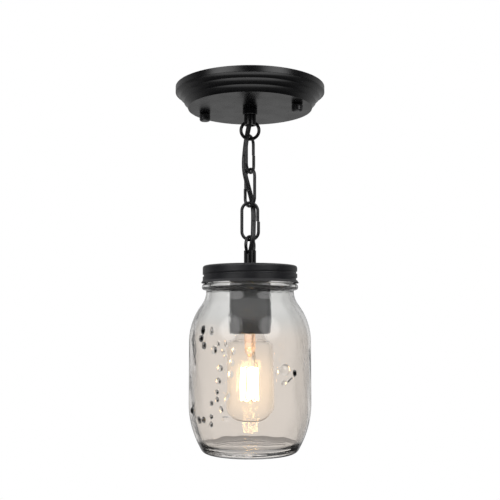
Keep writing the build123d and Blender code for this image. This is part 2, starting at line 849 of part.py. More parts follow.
# Lamp holder: a cap with a screwed hub and a body round the screw shell
with BuildPart() as holder_cap:
    with BuildSketch(Plane.XY.offset(holder_top_z)):
        Circle(holder_radius)
    extrude(amount=-holder_cap_height)
    fillet(holder_cap.edges().group_by(Axis.Z)[-1], holder_cap_corner)
    chamfer(holder_cap.edges().group_by(Axis.Z)[0], holder_seam_bevel)
    with BuildSketch(Plane.XY.offset(holder_seam_z)):
        Circle(holder_radius - holder_wall)
    extrude(amount=holder_cap_height - holder_wall, mode=Mode.SUBTRACT)
    with BuildSketch(Plane.XY.offset(holder_top_z)):
        Circle(holder_hub_radius)
    extrude(amount=-holder_nipple_length - rest_play)
    with BuildSketch(Plane.XY.offset(holder_top_z)):
        Circle(nut_bore)
    extrude(amount=-holder_cap_height, mode=Mode.SUBTRACT)
save(holder_cap.part, "holder_cap")

cap_ridge_centre = cap_radius - cap_thread_sink
cap_crest = cap_ridge_centre + cap_thread_radius
shell_radius = cap_crest + rest_play / 2
shell_outer_radius = shell_radius + screw_shell_wall
shell_ridge_centre = shell_radius + cap_thread_sink
holder_bore = shell_outer_radius + screw_play
with BuildPart() as holder_body:
    with BuildSketch(Plane.XY.offset(holder_seam_z)):
        Circle(holder_radius)
    extrude(amount=-holder_body_height)
    chamfer(holder_body.edges().group_by(Axis.Z)[-1], holder_seam_bevel)
    fillet(holder_body.edges().group_by(Axis.Z)[0], holder_rim_corner)
    with BuildSketch(Plane.XY.offset(holder_seam_z)):
        Circle(holder_bore)
    extrude(amount=-holder_body_height, mode=Mode.SUBTRACT)
save(holder_body.part, "holder_body")

# Brass shell with its inward thread
shell_ridge_z = shell_bottom_z + shell_thread_low
shell_ridge = helix_tube(
    cap_thread_pitch,
    shell_thread_turns,
    shell_ridge_centre,
    shell_ridge_z,
    0,
    cap_thread_radius,
)
with BuildPart() as screw_shell:
    add(shell_ridge)
    with BuildSketch(Plane.XY.offset(shell_bottom_z)):
        Circle(shell_outer_radius - screw_play)
    extrude(amount=screw_shell_height, mode=Mode.INTERSECT)
    with BuildSketch(Plane.XY.offset(shell_bottom_z)):
        Circle(shell_outer_radius)
        Circle(shell_radius, mode=Mode.SUBTRACT)
    extrude(amount=screw_shell_height)
save(screw_shell.part, "screw_shell")

# Insulating block that carries the centre contact and the two terminal screws
terminal_places = [(0, -terminal_place), (0, terminal_place)]
with BuildPart() as contact_block:
    with BuildSketch(Plane.XY.offset(holder_seam_z)):
        Circle(holder_bore - screw_play)
        with Locations(*terminal_places):
            Circle(terminal_screw_radius + screw_play, mode=Mode.SUBTRACT)
    extrude(amount=-contact_block_height)
save(contact_block.part, "contact_block")

terminal_head_z = holder_seam_z + 2 * lead_radius + 2 * face_play
with BuildPart() as terminal_screws:
    with BuildSketch(Plane.XY.offset(terminal_head_z)):
        with Locations(*terminal_places):
            Circle(terminal_screw_radius)
    extrude(amount=-terminal_screw_length)
    with BuildSketch(Plane.XY.offset(terminal_head_z)):
        with Locations(*terminal_places):
            Circle(terminal_head_radius)
    extrude(amount=terminal_head_height)
    with BuildSketch(Plane.XY.offset(terminal_head_z + terminal_head_height)):
        with Locations(*terminal_places):
            Rectangle(3 * terminal_head_radius, terminal_head_height / 2)
    extrude(amount=-terminal_head_height / 2, mode=Mode.SUBTRACT)
save(terminal_screws.part, "terminal_screws")

# Centre contact: a sprung brass strip, riveted at one end and bent down to the lamp's foot
strip_line = [
    (-centre_contact_length / 2, 0),
    (-centre_contact_length / 4, 0),
    (-centre_contact_width / 2, -centre_contact_lift),
    (centre_contact_width / 2, -centre_contact_lift),
    (centre_contact_width, -centre_contact_lift / 2),
]
strip_under = [(x, z - centre_contact_thickness) for x, z in reversed(strip_line)]
with BuildPart() as centre_contact:
    contact_plane = Plane(origin=(0, 0, contact_block_bottom_z), x_dir=(1, 0, 0), z_dir=(0, -1, 0))
    with BuildSketch(contact_plane):
        with BuildLine():
            Polyline(*strip_line, *strip_under, close=True)
        make_face()
    extrude(amount=centre_contact_width / 2, both=True)
save(centre_contact.part, "centre_contact")

# Leads from the cord's end to the two terminal screws
terminal_lead_z = holder_seam_z + lead_radius + face_play
terminal_lead_y = terminal_place - terminal_screw_radius - lead_radius - hole_play
for side, name in ((1, "socket_lead_live"), (-1, "socket_lead_neutral")):
    bend_y = side * terminal_bend_share * (lead_offset + terminal_lead_y)
    terminal_route = [
        (0, side * lead_offset, cord_points[-1][2] - face_play),
        (0, side * lead_offset, lower_nipple_bottom_z + lead_radius),
        (0, bend_y, terminal_lead_z + lead_radius),
        (0, side * terminal_lead_y, terminal_lead_z),
    ]
    save(tube(terminal_route, lead_radius, name), name)

# Bulb cap: rolled brass with its thread, a glass insulator and a round foot
cap_ridge_z = shell_ridge_z + helix_lift(
    cap_thread_radius, cap_thread_radius, shell_ridge_centre - cap_ridge_centre
)
cap_ridge = helix_tube(
    cap_thread_pitch,
    cap_thread_turns,
    cap_ridge_centre,
    cap_ridge_z,
    0,
    cap_thread_radius,
)
cap_throat_radius = cap_radius - cap_shoulder - cap_wall
with BuildPart() as bulb_cap:
    add(cap_ridge)
    with BuildSketch(Plane.XY.offset(cap_bottom_z)):
        Circle(cap_radius - cap_wall + screw_play)
    extrude(amount=cap_height, mode=Mode.SUBTRACT)
    with BuildSketch(Plane.XZ):
        with BuildLine():
            Polyline(
                (cap_radius, cap_bottom_z),
                (cap_radius, cap_top_z - cap_shoulder),
                (cap_radius - cap_shoulder, cap_top_z),
                (cap_throat_radius, cap_top_z),
                (cap_radius - cap_wall, cap_top_z - cap_shoulder - cap_wall),
                (cap_radius - cap_wall, cap_bottom_z),
                close=True,
            )
        make_face()
    revolve(axis=Axis.Z)
save(bulb_cap.part, "bulb_cap")

with BuildPart() as cap_insulator:
    with BuildSketch(Plane.XY.offset(cap_top_z)):
        Circle(cap_radius - cap_shoulder)
    with BuildSketch(Plane.XY.offset(insulator_top_z)):
        Circle(insulator_tip_radius)
    loft()
save(cap_insulator.part, "cap_insulator")

with BuildPart() as foot_contact:
    with BuildSketch(Plane.XY.offset(insulator_top_z + face_play)):
        Circle(foot_contact_radius)
    extrude(amount=foot_contact_height - face_play)
    fillet(foot_contact.edges().group_by(Axis.Z)[-1], foot_contact_height / 2)
save(foot_contact.part, "foot_contact")

# Bulb glass: a clear tube with a short shoulder and a softly domed end
bulb_neck_radius = cap_radius - cap_wall - screw_play
bulb_bottom_z = foot_top_z - bulb_length
bulb_neck_top_z = cap_bottom_z + bulb_neck_in_cap
bulb_shoulder_z = cap_bottom_z - bulb_neck_below_cap
bulb_tube_z = bulb_shoulder_z - bulb_shoulder_height
shoulder_middle = (
    (bulb_neck_radius + bulb_radius) / 2,
    (bulb_shoulder_z + bulb_tube_z) / 2,
)
with BuildPart() as bulb_glass:
    with BuildSketch(Plane.XZ):
        with BuildLine():
            above_neck_z = bulb_neck_top_z + 2 * bulb_wall
            Line((0, above_neck_z), (bulb_neck_radius, above_neck_z))
            Line((bulb_neck_radius, above_neck_z), (bulb_neck_radius, bulb_shoulder_z))
            TangentArc((bulb_neck_radius, bulb_shoulder_z), shoulder_middle, tangent=(0, -1))
            TangentArc((bulb_radius, bulb_tube_z), shoulder_middle, tangent=(0, 1))
            FilletPolyline(
                (bulb_radius, bulb_tube_z),
                (bulb_radius, bulb_bottom_z + bulb_dome),
                (0, bulb_bottom_z),
                radius=bulb_corner,
            )
            mirror(about=Plane.YZ)
        make_face()
        offset(amount=-bulb_wall, mode=Mode.SUBTRACT)
        with Locations((0, bulb_neck_top_z)):
            cut_size = (4 * bulb_radius, 4 * bulb_wall)
            Rectangle(*cut_size, align=(Align.CENTER, Align.MIN), mode=Mode.SUBTRACT)
        with Locations((0, bulb_bottom_z)):
            half_size = (2 * bulb_radius, 4 * bulb_length)
            Rectangle(*half_size, align=(Align.MAX, Align.CENTER), mode=Mode.SUBTRACT)
    revolve(axis=Axis.Z)
save(bulb_glass.part, "bulb_glass")

# Glass stem: a flared tube sealed at the bulb's neck, drawn out into a rod for the supports
filament_top_z = foot_top_z - filament_from_foot
filament_bottom_z = filament_top_z - filament_height
strand_turn = 2 * math.pi / filament_strands
glass_stem_flare_radius = bulb_neck_radius - bulb_wall - screw_play
stem_top_z = bulb_neck_top_z
stem_press_z = stem_top_z - glass_stem_height
flare_end_z = stem_top_z - glass_stem_flare_height
rod_bottom_z = filament_bottom_z - 2 * glass_rod_radius
inner_stem = glass_stem_radius - glass_stem_wall
inner_flare = glass_stem_flare_radius - glass_stem_wall


def lead_in(k):
    """Route of a lead-in wire: down inside the stem, then out to the end of strand k."""
    along = (math.cos(k * strand_turn), math.sin(k * strand_turn))
    inside = (lead_in_place * along[0], lead_in_place * along[1])
    outside = (filament_ring_radius * along[0], filament_ring_radius * along[1])
    return [
        (*inside, cap_top_z - cap_shoulder),
        (*inside, stem_press_z + inner_stem),
        (*outside, filament_top_z + filament_bend),
        (*outside, filament_top_z + face_play),
    ]


lead_in_strands = (0, filament_strands - 1)
with BuildPart() as glass_stem:
    with BuildSketch(Plane.XZ):
        with BuildLine():
            Polyline(
                (glass_stem_flare_radius, stem_top_z),
                (glass_stem_radius, flare_end_z),
                (glass_stem_radius, stem_press_z),
                (glass_rod_radius, stem_press_z - glass_stem_radius),
                (glass_rod_radius, rod_bottom_z),
                (0, rod_bottom_z),
                (0, stem_press_z),
                (inner_stem, stem_press_z + inner_stem),
                (inner_stem, flare_end_z),
                (inner_flare, stem_top_z),
                close=True,
            )
        make_face()
    revolve(axis=Axis.Z)
    for k in lead_in_strands:
        add(tube(lead_in(k), lead_in_radius + screw_play, "lead-in hole"), mode=Mode.SUBTRACT)
save(glass_stem.part, "glass_stem")

# Lead-in wires from the cap through the stem to the two ends of the filament
with BuildPart() as lead_in_wires:
    for k in lead_in_strands:
        add(tube(lead_in(k), lead_in_radius, "lead-in wire"))
save(lead_in_wires.part, "lead_in_wires")

# Filament: one wire, up and down round a ring, hung on hooks from the rod
filament_points = []
for k in range(filament_strands):
    x = filament_ring_radius * math.cos(k * strand_turn)
    y = filament_ring_radius * math.sin(k * strand_turn)
    ends = [(x, y, filament_top_z), (x, y, filament_bottom_z)]
    filament_points += ends if k % 2 == 0 else ends[::-1]
with BuildPart() as filament:
    with BuildLine() as filament_route:
        FilletPolyline(*filament_points, radius=filament_bend)
    filament_path = filament_route.wire()
    with BuildSketch(Plane(origin=filament_path @ 0, z_dir=filament_path % 0)):
        Circle(filament_radius)
    sweep(path=filament_path)
save(filament.part, "filament")

# Hooks: short radial wires from the rod to each bend of the filament
hook_start = glass_rod_radius + screw_play
hook_end = filament_ring_radius * math.cos(strand_turn / 2) - filament_radius - screw_play
with BuildPart() as filament_hooks:
    for k in range(filament_strands - 1):
        hook_turn = math.degrees((k + 0.5) * strand_turn)
        hook_z = filament_bottom_z if k % 2 == 0 else filament_top_z
        across = turned_plane(hook_turn, hook_z)
        hook_origin = across.origin + across.x_dir * hook_start
        with BuildSketch(Plane(origin=hook_origin, z_dir=across.x_dir)):
            Circle(support_radius)
        extrude(amount=hook_end - hook_start)
save(filament_hooks.part, "filament_hooks")
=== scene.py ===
import math

import bmesh
import bpy
import numpy as np
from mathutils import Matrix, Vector


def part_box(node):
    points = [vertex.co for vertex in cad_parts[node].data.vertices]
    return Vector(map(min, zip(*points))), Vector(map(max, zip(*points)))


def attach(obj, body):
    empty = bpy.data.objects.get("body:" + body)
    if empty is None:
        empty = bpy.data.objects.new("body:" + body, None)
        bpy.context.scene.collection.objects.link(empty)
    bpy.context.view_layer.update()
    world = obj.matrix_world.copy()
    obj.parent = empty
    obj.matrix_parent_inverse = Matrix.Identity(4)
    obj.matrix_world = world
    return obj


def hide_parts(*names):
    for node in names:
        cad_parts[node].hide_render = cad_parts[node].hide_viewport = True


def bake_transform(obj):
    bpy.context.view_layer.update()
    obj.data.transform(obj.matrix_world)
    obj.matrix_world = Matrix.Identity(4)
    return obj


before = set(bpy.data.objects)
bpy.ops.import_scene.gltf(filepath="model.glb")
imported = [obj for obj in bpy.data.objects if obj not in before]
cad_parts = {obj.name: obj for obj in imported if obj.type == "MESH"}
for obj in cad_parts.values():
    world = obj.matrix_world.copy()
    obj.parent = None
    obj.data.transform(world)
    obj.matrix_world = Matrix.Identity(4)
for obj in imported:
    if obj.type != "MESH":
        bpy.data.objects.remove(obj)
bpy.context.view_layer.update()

# The lantern hangs at eye level and is seen a little from below, turned about a fifth of a
# right angle from the line through its two knobs. The lens is the one that fits the rims.
view_turn = math.radians(21.5)
view_rise = math.radians(5.18)
stand_off = 0.6303
eye_height = -0.1883
eye = bpy.data.objects.new("eye", bpy.data.cameras.new("eye"))
eye.data.lens = 57.29
eye.data.sensor_width = 36.0
eye.data.clip_start = 0.01
eye.location = (stand_off * math.sin(view_turn), -stand_off * math.cos(view_turn), eye_height)
eye.rotation_euler = (math.pi / 2 + view_rise, 0.0, view_turn)
bpy.context.scene.collection.objects.link(eye)
bpy.context.scene.camera = eye
bpy.context.scene.view_settings.view_transform = "Standard"


class Tone:
    """A value on its way through a finish: + - * ** on it add Math nodes."""

    def __init__(self, tree, socket):
        self.tree, self.socket = tree, socket

    def node(self, kind, settings=None, sockets=None, out=0):
        """Adds any node: its settings first, then the values or links of its sockets."""
        made = self.tree.nodes.new("ShaderNode" + kind)
        for name, value in (settings or {}).items():
            setattr(made, name, value)
        for name, value in (sockets or {}).items():
            if isinstance(value, Tone):
                self.tree.links.new(value.socket, made.inputs[name])
            else:
                made.inputs[name].default_value = value
        return Tone(self.tree, made.outputs[out])

    def sum_with(self, operation, first, second):
        return self.node("Math", {"operation": operation}, {0: first, 1: second})

    def __add__(self, other):
        return self.sum_with("ADD", self, other)

    def __rsub__(self, other):
        return self.sum_with("SUBTRACT", other, self)

    def __mul__(self, other):
        return self.sum_with("MULTIPLY", self, other)

    def __pow__(self, other):
        return self.sum_with("POWER", self, other)

    def eased(self, low, high, start=0.0, end=1.0):
        """Goes from start to end as the value goes from low to high, and stays there."""
        sockets = {0: self, 1: low, 2: high, 3: start, 4: end}
        return self.node("MapRange", {"interpolation_type": "SMOOTHSTEP"}, sockets)

    def between(self, first, second):
        """Colour from first to second as the value goes from 0 to 1."""
        pair = [c if isinstance(c, Tone) else (*c, 1.0) for c in (first, second)]
        sockets = {0: self, 6: pair[0], 7: pair[1]}
        return self.node("Mix", {"data_type": "RGBA"}, sockets, out=2)

    def grain(self, scale, detail=3.0, stretch=(1.0, 1.0, 1.0)):
        """Cloudy noise on this place, finer with scale and drawn out with stretch."""
        place = self.node("Mapping", {}, {"Vector": self, "Scale": stretch})
        sockets = {"Vector": place, "Scale": scale, "Detail": detail}
        return self.node("TexNoise", {}, sockets)

    def patchy(self, scale, low, high, detail=3.0, stretch=(1.0, 1.0, 1.0)):
        """Soft patches from low to high, for a roughness that isn't the same everywhere."""
        return self.grain(scale, detail, stretch).eased(0.3, 0.7, low, high)

    def raised(self, strength, distance, under=None):
        """Bump from this height, on top of another bump where one is given."""
        sockets = {"Height": self, "Strength": strength, "Distance": distance}
        if under is not None:
            sockets["Normal"] = under
        return self.node("Bump", {}, sockets)

    def feeds(self, socket):
        self.tree.links.new(self.socket, socket)


def blank_finish(name, **constants):
    """A material's first shader: its constants, its sockets and the place on the piece."""
    material = bpy.data.materials.new(name)
    material.use_nodes = True
    tree = material.node_tree
    coat = tree.nodes["Principled BSDF"].inputs
    for socket, value in constants.items():
        coat[socket.replace("_", " ")].default_value = value
    place = Tone(tree, tree.nodes.new("ShaderNodeTexCoord").outputs["Object"])
    return material, coat, place


# Studio: a white backdrop all round for the camera, and the room's own even light. Mirrors see a
# grey room that is paler behind the lantern, a white ceiling, and a soft box in front on each
# side. Glass sees white behind the lantern and beside it, with a dark belt between the two.
studio = bpy.data.worlds.new("studio")
studio.use_nodes = True
bpy.context.scene.world = studio
air = studio.node_tree
ray = Tone(air, air.nodes.new("ShaderNodeLightPath").outputs["Is Camera Ray"])
glass_ray = Tone(air, ray.socket.node.outputs["Is Transmission Ray"])
mirror_ray = Tone(air, ray.socket.node.outputs["Is Glossy Ray"]) * (1 - glass_ray)
away = Tone(air, air.nodes.new("ShaderNodeTexCoord").outputs["Generated"])
across, along, up = (away.node("SeparateXYZ", {}, {0: away}, axis) for axis in "XYZ")


def towards(x, y, z):
    """How nearly a ray goes the way of x, y, z: 1 is straight that way and 0 is across it."""
    return across * x + along * y + up * z


behind = towards(-math.sin(view_turn), math.cos(view_turn), 0.0)
grey_room = behind.eased(-0.35, 0.6, 0.03, 0.42)
white_ceiling = up.eased(0.5, 0.8, 0.0, 1.2)
left_box = towards(-0.29, -0.86, 0.42).eased(0.9, 0.97, 0.0, 3.2)
right_box = towards(0.80, -0.43, 0.42).eased(0.91, 0.98, 0.0, 3.0)
mirror_light = grey_room + white_ceiling + left_box + right_box
white_behind = behind.eased(0.55, 0.94, 0.03, 1.0)
white_beside = behind.eased(0.05, 0.35, 0.85, 0.0)
even_light = up.eased(-1.0, 1.0, 0.62, 0.78)
seen = ray + mirror_ray * mirror_light + glass_ray * (white_behind + white_beside)
unseen = (1 - ray) * (1 - mirror_ray) * (1 - glass_ray)
(seen + unseen * even_light).feeds(air.nodes["Background"].inputs["Strength"])
air.nodes["Background"].inputs["Color"].default_value = (1.0, 1.0, 1.0, 1.0)

# Lamps: a big soft one on the left and a weaker one on the right, both turned to the lantern's
# middle. Each row is a name, a place and a size in metres, and a power in watts.
lamp_target = Vector((0.0, 0.0, -0.15))
for name, place, size, power in (
    ("left_lamp", (-0.75, -0.8, 0.25), 0.7, 6.0),
    ("right_lamp", (1.0, -0.35, 0.1), 0.6, 3.0),
):
    lamp = bpy.data.lights.new(name, "AREA")
    lamp.size = size
    lamp.energy = power
    lamp.color = (1.0, 0.985, 0.96)
    stand = bpy.data.objects.new(name, lamp)
    stand.location = place
    stand.rotation_euler = (lamp_target - Vector(place)).to_track_quat("-Z", "Y").to_euler()
    stand.visible_glossy = stand.visible_transmission = False
    bpy.context.scene.collection.objects.link(stand)


def skin(name, grid):
    """Closed surface over a grid of points in metres: rows follow the line, columns go round
    it, and the points of an end that meet in one place are merged."""
    rows, columns = grid.shape[:2]
    number = np.arange(rows * columns).reshape(rows, columns)
    number = np.hstack([number, number[:, :1]])
    corners = np.stack([number[:-1, :-1], number[:-1, 1:], number[1:, 1:], number[1:, :-1]], -1)
    mesh = bpy.data.meshes.new(name)
    mesh.from_pydata(grid.reshape(-1, 3), [], corners.reshape(-1, 4))
    shell = bmesh.new()
    shell.from_mesh(mesh)
    bmesh.ops.remove_doubles(shell, verts=shell.verts, dist=1e-7)
    bmesh.ops.recalc_face_normals(shell, faces=shell.faces)
    shell.to_mesh(mesh)
    shell.free()
    mesh.shade_smooth()
    piece = bpy.data.objects.new(name, mesh)
    bpy.context.scene.collection.objects.link(piece)
    return piece


# Floor: a round, pale painted disc well under the lantern. Metal sees it bright under the lantern
# and dark towards its edge, and glass sees it grey, so that the jar's foot has its dark lines.
floor_height = -0.75
floor_reach = 1.2
floor_in_glass = 0.42
turns = np.linspace(0, 2 * math.pi, 96, endpoint=False)
rings = np.array([0.0, 0.5, 1.0])[:, None] * floor_reach
floor_grid = np.stack(
    [rings * np.cos(turns), rings * np.sin(turns), 0 * rings * turns + floor_height], -1
)
floor = skin("studio_floor", floor_grid)
pale_paint, coat, place = blank_finish("pale_floor_paint", Roughness=0.7)
place.grain(4.0).between((0.86, 0.86, 0.86), (0.9, 0.9, 0.9)).feeds(coat["Base Color"])
ray_kind = place.node("LightPath")
in_glass = Tone(place.tree, ray_kind.socket.node.outputs["Is Transmission Ray"])
in_metal = Tone(place.tree, ray_kind.socket.node.outputs["Is Glossy Ray"]) * (1 - in_glass)
from_middle = place.node("VectorMath", {"operation": "LENGTH"}, {0: place}, "Value")
under_lamp = from_middle.eased(0.78, 0.95, 1.9, 0.12)
shine = place.node("Emission", {}, {"Strength": in_metal * under_lamp + in_glass * floor_in_glass})
mixed = place.node("MixShader", {}, {0: in_metal + in_glass, 2: shine})
painted = place.tree.nodes["Principled BSDF"].outputs[0]
place.tree.links.new(painted, mixed.socket.node.inputs[1])
place.tree.links.new(mixed.socket, place.tree.nodes["Material Output"].inputs["Surface"])
floor.data.materials.append(pale_paint)

# Supply cord: round black plastic over two cores. It comes out of the upper loop's stem, is
# wound through the three links and goes down the lower loop's stem, held all the way.
cord_radius = 0.0020
cord_sides = 24
cord_route = 0.001 * np.array(
    [
        (0.0, 0.0, -6.4),
        (0.0, 0.0, -17.0),
        (0.2, -0.2, -26.4),
        (-2.4, 1.4, -34.6),
        (-4.6, 2.9, -42.5),
        (-4.9, 1.1, -51.5),
        (-4.7, -1.1, -60.5),
        (-3.8, -2.0, -69.5),
        (-1.8, -0.6, -78.5),
        (-0.4, 2.2, -86.5),
        (0.5, 4.7, -93.8),
        (1.4, 4.3, -101.0),
        (2.2, 1.9, -108.5),
        (3.2, -1.0, -115.2),
        (3.7, -2.8, -121.8),
        (2.1, -1.7, -128.0),
        (0.3, -0.2, -133.6),
        (0.0, 0.0, -140.0),
        (0.0, 0.0, -148.0),
    ]
)


def spline_line(name, route):
    """Points read from the smooth spline that has the route's points as its control points."""
    curve = bpy.data.curves.new(name, "CURVE")
    curve.dimensions = "3D"
    spline = curve.splines.new("NURBS")
    spline.points.add(len(route) - 1)
    spline.points.foreach_set("co", np.hstack([route, np.ones((len(route), 1))]).ravel())
    spline.order_u = 3
    spline.use_endpoint_u = True
    spline.resolution_u = 8
    holder = bpy.data.objects.new(name, curve)
    bpy.context.scene.collection.objects.link(holder)
    bpy.context.view_layer.update()
    depsgraph = bpy.context.evaluated_depsgraph_get()
    drawn = bpy.data.meshes.new_from_object(holder.evaluated_get(depsgraph))
    line = np.zeros(len(drawn.vertices) * 3)
    drawn.vertices.foreach_get("co", line)
    bpy.data.objects.remove(holder)
    return line.reshape(-1, 3)


def hose(name, line, radius):
    """Round tube: at each point of the line a circle across its heading, ends drawn shut."""
    heading = np.gradient(line, axis=0)
    heading /= np.linalg.norm(heading, axis=1)[:, None]
    first_side = np.cross(heading, (1.0, 0.0, 0.0))
    first_side /= np.linalg.norm(first_side, axis=1)[:, None]
    second_side = np.cross(first_side, heading)
    turn = np.linspace(0, 2 * math.pi, cord_sides, endpoint=False)[:, None]
    ends = np.r_[0, np.arange(len(line)), len(line) - 1]
    girth = np.r_[0, np.full(len(line), radius), 0]
    ring = first_side[ends, None] * np.cos(turn) + second_side[ends, None] * np.sin(turn)
    return skin(name, line[ends, None] + girth[:, None, None] * ring)


cord_plastic, coat, place = blank_finish("black_cord_plastic", Specular_IOR_Level=0.5)
place.grain(500.0).between((0.007, 0.007, 0.008), (0.014, 0.014, 0.015)).feeds(coat["Base Color"])
place.patchy(260.0, 0.34, 0.44).feeds(coat["Roughness"])
cord_ripple = place.grain(900.0, 2.0, (1.0, 1.0, 0.25))
cord_ripple.raised(0.15, 0.0001).feeds(coat["Normal"])
cord_line = spline_line("cord_line", cord_route)
# Each run: its name, its top and bottom, the two bodies it joins, and where its bend lies.
for name, top, bottom, upper, lower, start, end in (
    ("cord_at_canopy", 0.0, -0.055, "ceiling_part", "link_1", -0.036, -0.047),
    ("cord_upper_run", -0.055, -0.082, "link_1", "link_2", -0.063, -0.074),
    ("cord_lower_run", -0.082, -0.109, "link_2", "link_3", -0.090, -0.101),
    ("cord_at_jar", -0.109, -1.0, "link_3", "lamp_head", -0.1175, -0.1285),
):
    first = np.argmin(abs(cord_line[:, 2] - top))
    last = np.argmin(abs(cord_line[:, 2] - bottom))
    run = hose(name, cord_line[first : last + 1], cord_radius)
    run.data.materials.append(cord_plastic)
    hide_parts("supply_cord")
    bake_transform(run)


def dress(material, *nodes):
    """Gives pieces of the frame their finish, in the place of the plain one they came with."""
    for node in nodes:
        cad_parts[node].data.materials.clear()
        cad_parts[node].data.materials.append(material)


# Mounting bar and small steel: strip and screws cut from rolled steel and zinc plated, with
# the milky, cloudy sheen that plating has.
zinc_plate, coat, place = blank_finish("zinc_plate", Metallic=1.0)
place.grain(160.0, 5.0).between((0.50, 0.50, 0.49), (0.68, 0.68, 0.66)).feeds(coat["Base Color"])
place.patchy(420.0, 0.3, 0.5).feeds(coat["Roughness"])
place.grain(1500.0, 2.0, (0.1, 1.0, 1.0)).raised(0.2, 0.0001).feeds(coat["Normal"])
dress(zinc_plate, "mounting_bar", "bar_studs", "stud_locknuts", "top_nipple", "lower_nipple")
dress(zinc_plate, "canopy_nut", "canopy_lock_washer", "lid_nut", "lid_washer")

green_zinc, coat, place = blank_finish("green_dyed_zinc", Metallic=0.6)
place.grain(300.0).between((0.05, 0.28, 0.10), (0.10, 0.42, 0.18)).feeds(coat["Base Color"])
place.patchy(700.0, 0.25, 0.45).feeds(coat["Roughness"])
dress(green_zinc, "ground_screw")

# Canopy: one bowl pressed from steel sheet in three rounded steps and powder coated in satin
# black. The collar, the loops and the knobs' washers have the same coat.
satin_coat, coat, place = blank_finish("satin_black_coat", Specular_IOR_Level=0.45)
place.grain(45.0).between((0.002, 0.002, 0.0025), (0.004, 0.004, 0.0045)).feeds(coat["Base Color"])
place.patchy(70.0, 0.22, 0.29).feeds(coat["Roughness"])
place.grain(2200.0, 2.0).raised(0.12, 0.00006).feeds(coat["Normal"])
dress(satin_coat, "canopy", "canopy_collar", "top_loop", "bottom_loop")
dress(satin_coat, "washer_left", "washer_right")

# Knobs: small brass cap nuts, turned with two grooves and painted a glossier black.
knob_coat, coat, place = blank_finish("knob_black_coat", Specular_IOR_Level=0.5)
place.grain(300.0).between((0.009, 0.009, 0.010), (0.015, 0.015, 0.016)).feeds(coat["Base Color"])
place.patchy(500.0, 0.24, 0.34).feeds(coat["Roughness"])
place.grain(1400.0, 2.0, (1.0, 1.0, 4.0)).raised(0.1, 0.00005).feeds(coat["Normal"])
dress(knob_coat, "knob_left", "knob_right")

# Chain: links bent from drawn steel wire and dipped black, the dip a little thinner where the
# links rub on each other.
chain_coat, coat, place = blank_finish("chain_black_coat", Specular_IOR_Level=0.5)
worn = place.grain(350.0, 4.0).eased(0.62, 0.78)
worn.between((0.010, 0.010, 0.011), (0.035, 0.034, 0.034)).feeds(coat["Base Color"])
place.patchy(220.0, 0.26, 0.38).feeds(coat["Roughness"])
place.grain(900.0, 3.0).raised(0.15, 0.00008).feeds(coat["Normal"])
dress(chain_coat, "link_1", "link_2", "link_3")

# Cord grip: a small slotted bush moulded in black nylon. It sits on the screwed tube inside the
# canopy and pinches the cord.
grip_nylon, coat, place = blank_finish("grip_nylon")
place.grain(400.0).between((0.012, 0.012, 0.012), (0.022, 0.022, 0.022)).feeds(coat["Base Color"])
place.patchy(900.0, 0.45, 0.6).feeds(coat["Roughness"])
dress(grip_nylon, "cord_grip")

# Leads: fine wire covered in black, white and green plastic, from the cord's end to the house's
# wires and the ground screw, and from the lower tube to the holder's terminals.
for name, dark, light, nodes in (
    (
        "black_lead_plastic",
        (0.01, 0.01, 0.01),
        (0.02, 0.02, 0.02),
        ("lead_live", "socket_lead_live"),
    ),
    (
        "white_lead_plastic",
        (0.72, 0.72, 0.69),
        (0.8, 0.8, 0.77),
        ("lead_neutral", "socket_lead_neutral"),
    ),
    ("green_lead_plastic", (0.03, 0.22, 0.08), (0.06, 0.32, 0.12), ("lead_ground",)),
):
    lead_plastic, coat, place = blank_finish(name)
    place.grain(600.0).between(dark, light).feeds(coat["Base Color"])
    place.patchy(900.0, 0.3, 0.42).feeds(coat["Roughness"])
    dress(lead_plastic, *nodes)

# Wire connectors: twist-on caps moulded in orange plastic, one over each pair of bared ends.
orange_cap, coat, place = blank_finish("orange_cap_plastic")
place.grain(250.0).between((0.75, 0.20, 0.02), (0.86, 0.28, 0.04)).feeds(coat["Base Color"])
place.patchy(700.0, 0.35, 0.5).feeds(coat["Roughness"])
dress(orange_cap, "wire_connectors")

# Screw band and disc: thin tinplate, rolled with one screw groove, stained to a bronze black
# whose colour goes a little blue in the light and brown at the rubbed rims.
bronze_black, coat, place = blank_finish("bronze_black_stain", Specular_IOR_Level=0.45)
rubbed = place.grain(120.0, 4.0, (1.0, 1.0, 3.0)).eased(0.55, 0.75)
rubbed.between((0.005, 0.0052, 0.0068), (0.012, 0.0115, 0.0125)).feeds(coat["Base Color"])
place.patchy(160.0, 0.36, 0.5, 3.0, (1.0, 1.0, 6.0)).feeds(coat["Roughness"])
place.grain(500.0, 3.0, (0.6, 0.6, 8.0)).raised(0.12, 0.00008).feeds(coat["Normal"])
dress(bronze_black, "screw_band", "lid_disc")

# Gasket: a flat ring punched from soft clear rubber. It lies between the lid's disc and the
# jar's rim.
clear_rubber, coat, place = blank_finish("clear_rubber", Transmission_Weight=0.6, IOR=1.42)
place.grain(200.0).between((0.80, 0.79, 0.76), (0.88, 0.87, 0.84)).feeds(coat["Base Color"])
place.patchy(500.0, 0.3, 0.45).feeds(coat["Roughness"])
dress(clear_rubber, "jar_gasket")

